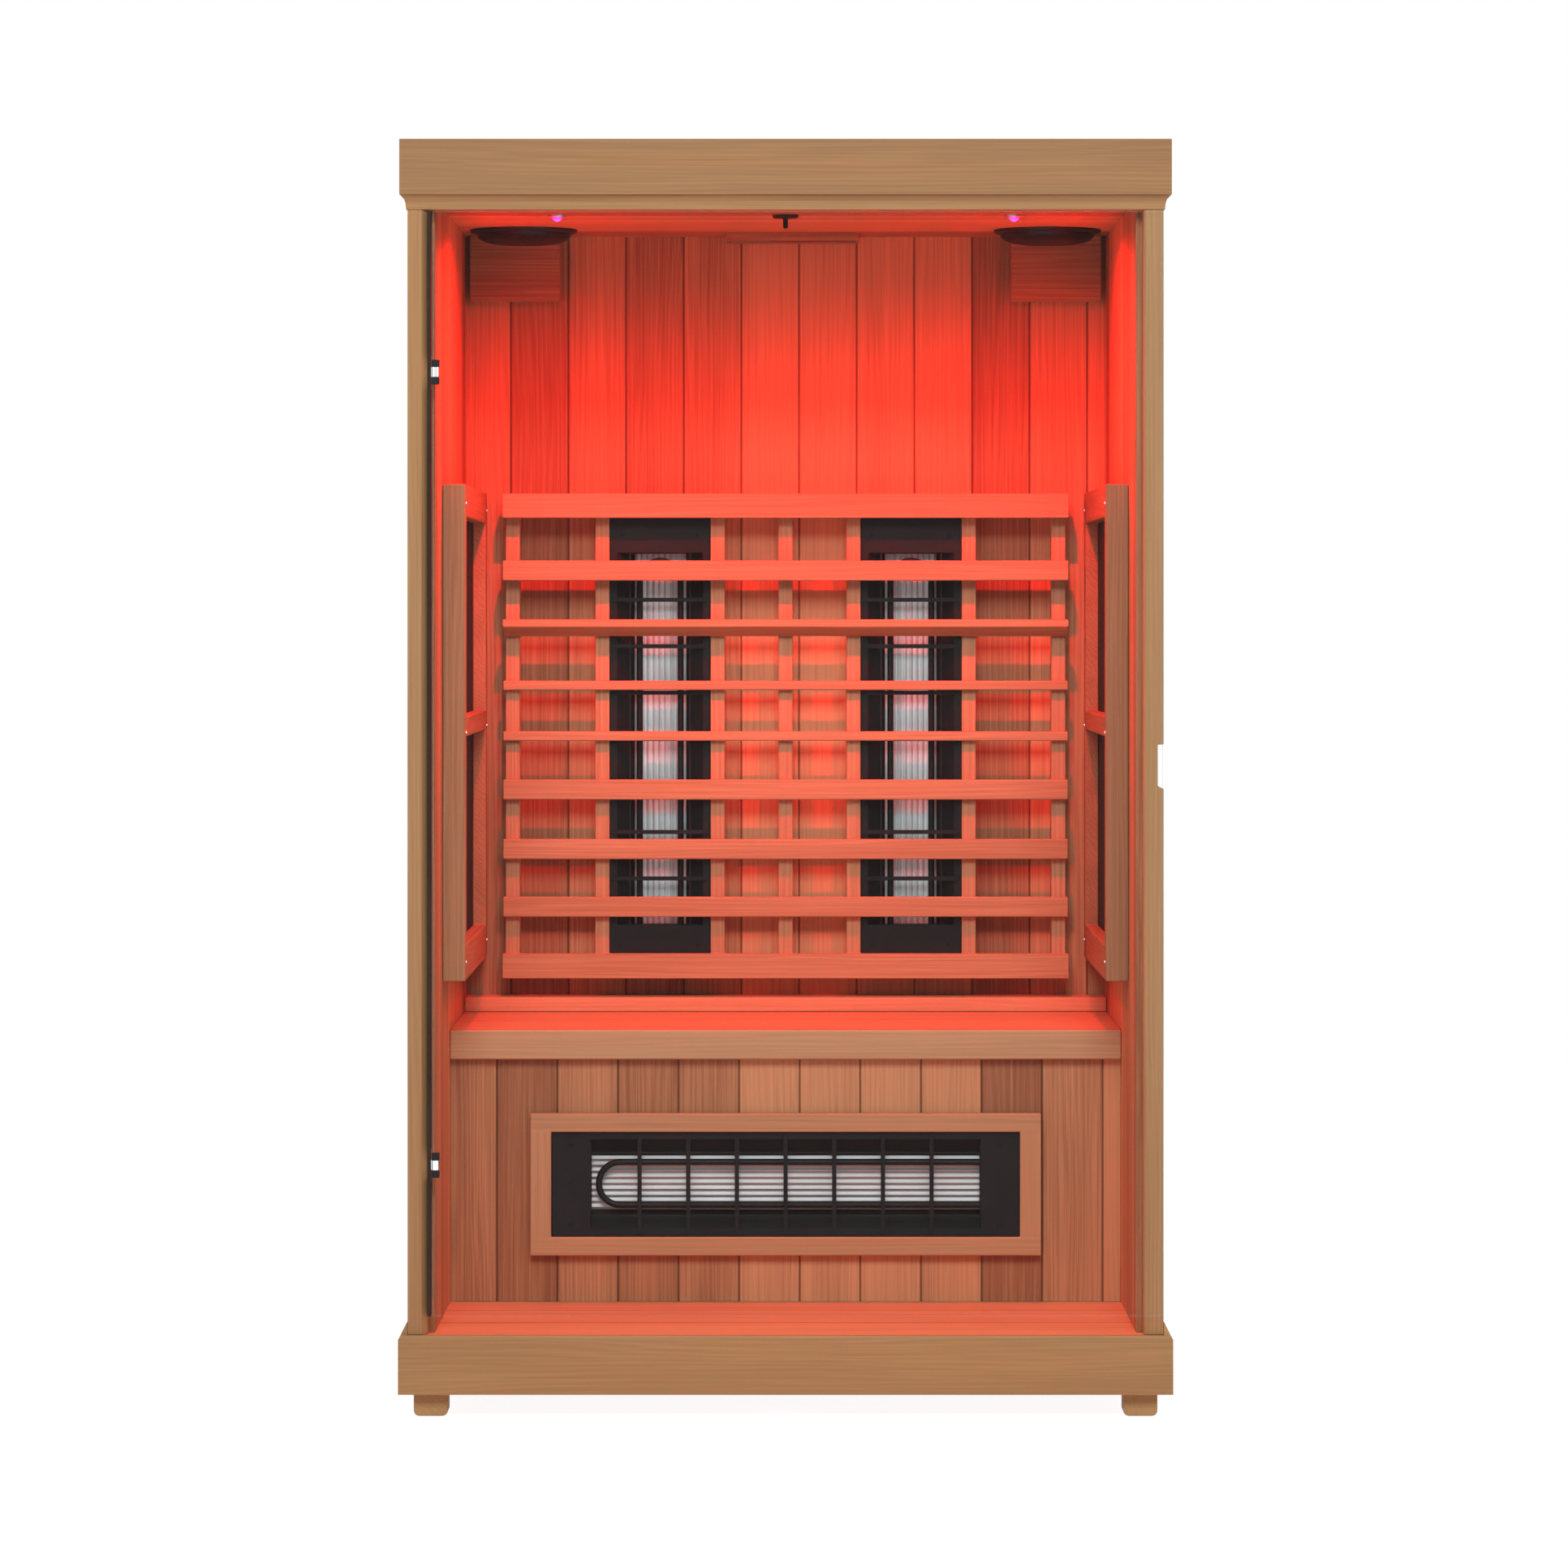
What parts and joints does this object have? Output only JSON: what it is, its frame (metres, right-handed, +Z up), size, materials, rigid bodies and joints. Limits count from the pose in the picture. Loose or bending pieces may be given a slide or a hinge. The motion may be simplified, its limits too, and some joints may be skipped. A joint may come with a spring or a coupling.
{
  "type": "infrared sauna cabin",
  "caption": "Free-standing boarded cedar infrared sauna cabin with a hinged glass door, slatted backrest over a bench, tube and panel heaters, ceiling speakers and a sliding roof vent.",
  "frame": {"origin": "on the ground under the middle of the cabin", "axes": "+X to the right as seen from the door, +Y from the door to the back wall, +Z up"},
  "size_m": [1.2, 0.991, 1.98],
  "materials": {
    "cedar": "satin",
    "inside_cedar": "satin",
    "black_metal": "satin",
    "heat_panel": "matte",
    "bright_steel": "brushed",
    "chrome": "polished",
    "black_plastic": "matte",
    "rubber": "matte",
    "lens": "gloss",
    "glass": "polished"
  },
  "bodies": {
    "cabin": {"foot_front_left": "cedar", "foot_front_right": "cedar", "foot_rear_left": "cedar", "foot_rear_right": "cedar", "base_plinth": "cedar", "floor_panel": "inside_cedar", "left_wall": "cedar", "right_wall": "cedar", "back_wall": "cedar", "left_post": "cedar", "right_post": "cedar", "front_header": "cedar", "roof_panel": "inside_cedar", "roof_cap": "cedar", "control_box": "black_metal", "bench_frame": "inside_cedar", "bench_front_panel": "inside_cedar", "bench_seat": "inside_cedar", "bench_nosing": "inside_cedar", "bench_back_rail": "inside_cedar", "leg_heater_frame": "inside_cedar", "leg_heater_housing": "black_metal", "leg_heater_reflector": "bright_steel", "leg_heater_element": "black_metal", "leg_heater_guard": "black_metal", "left_back_heater_housing": "black_metal", "left_back_heater_reflector": "bright_steel", "left_back_heater_element": "black_metal", "left_back_heater_guard": "black_metal", "right_back_heater_housing": "black_metal", "right_back_heater_reflector": "bright_steel", "right_back_heater_element": "black_metal", "right_back_heater_guard": "black_metal", "backrest_frame": "inside_cedar", "backrest_slat_1": "inside_cedar", "backrest_slat_2": "inside_cedar", "backrest_slat_3": "inside_cedar", "backrest_slat_4": "inside_cedar", "backrest_slat_5": "inside_cedar", "backrest_slat_6": "inside_cedar", "backrest_slat_7": "inside_cedar", "left_side_heater_frame": "inside_cedar", "left_side_heater_panel": "heat_panel", "right_side_heater_frame": "inside_cedar", "right_side_heater_panel": "heat_panel", "left_speaker": "black_plastic", "right_speaker": "black_plastic", "left_led_spot": "lens", "right_led_spot": "lens", "temperature_probe": "black_plastic", "vent_frame": "inside_cedar", "left_wiring_cover": "inside_cedar", "right_wiring_cover": "inside_cedar", "door_seal": "rubber", "upper_hinge_bracket": "chrome", "lower_hinge_bracket": "chrome"},
    "door": {"door_glass": "glass", "upper_hinge_shoe": "black_metal", "lower_hinge_shoe": "black_metal"},
    "vent_cover": {"vent_cover": "inside_cedar"}
  },
  "joints": [
    {"name": "door_hinge", "type": "hinge", "parent": "cabin", "child": "door", "pos_m": [-0.542, -0.4895, 1], "axis": [0, 0, -1], "range_deg": [0, 110]},
    {"name": "vent_slide", "type": "slide", "parent": "cabin", "child": "vent_cover", "axis": [1, 0, 0], "range_m": [-0.078, 0]}
  ]
}
